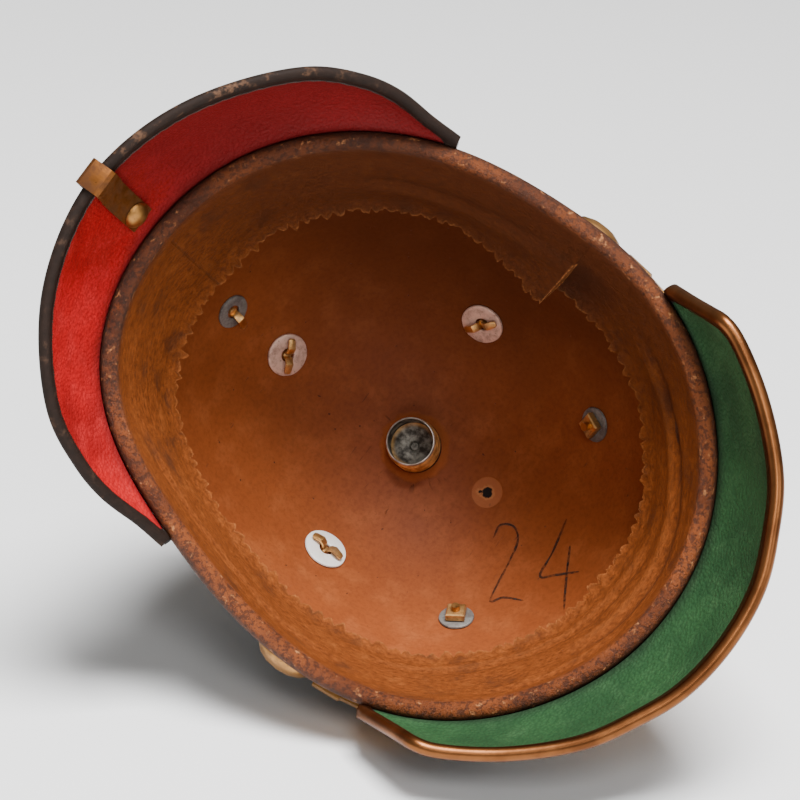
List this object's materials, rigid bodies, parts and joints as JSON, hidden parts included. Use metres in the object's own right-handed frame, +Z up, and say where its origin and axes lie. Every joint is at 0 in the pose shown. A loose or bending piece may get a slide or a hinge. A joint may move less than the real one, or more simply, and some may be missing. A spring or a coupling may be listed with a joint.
{
  "type": "leather spiked helmet",
  "caption": "Leather helmet with a brass spike, squared front visor and neck guard, lying on its side so that its lined opening faces the viewer.",
  "frame": {"origin": "centre of the bounding box's bottom face, on the surface that the helmet lies on", "axes": "+Z up; the opening faces -Y and tilts up; the spike points to +Y and down; the front visor is towards +X and the neck guard towards -X"},
  "size_m": [0.2358, 0.2762, 0.2136],
  "materials": {
    "shell_leather": "satin",
    "band_leather": "matte",
    "green_leather": "matte",
    "red_leather": "satin",
    "binding_leather": "satin",
    "strap_leather": "satin",
    "trim_brass": "satin",
    "brass": "satin",
    "fixing_metal": "satin",
    "tinned_metal": "satin",
    "socket_metal": "satin"
  },
  "bodies": {
    "root": {"shell": "shell_leather", "sweatband": "band_leather", "front_visor": "green_leather", "front_visor_trim": "trim_brass", "spine_rivet": "brass", "rear_spine": "brass", "rear_visor": "red_leather", "rear_visor_binding": "binding_leather", "spike_base": "brass", "spike": "brass", "spike_socket": "socket_metal", "base_stud_right": "fixing_metal", "washer_right": "fixing_metal", "base_stud_left": "fixing_metal", "washer_left": "tinned_metal", "base_stud_rear": "fixing_metal", "washer_rear": "fixing_metal", "base_stud_front": "fixing_metal", "spine_stud": "fixing_metal", "washer_spine": "fixing_metal", "washer_post_right": "fixing_metal", "nut_right": "fixing_metal", "washer_post_left": "fixing_metal", "nut_left": "fixing_metal", "helmet_plate": "brass", "chin_strap": "strap_leather", "chin_scales_right": "brass", "chin_scales_left": "brass", "strap_boss_right": "brass", "strap_boss_left": "brass", "strap_buckle": "brass"}
  },
  "joints": []
}
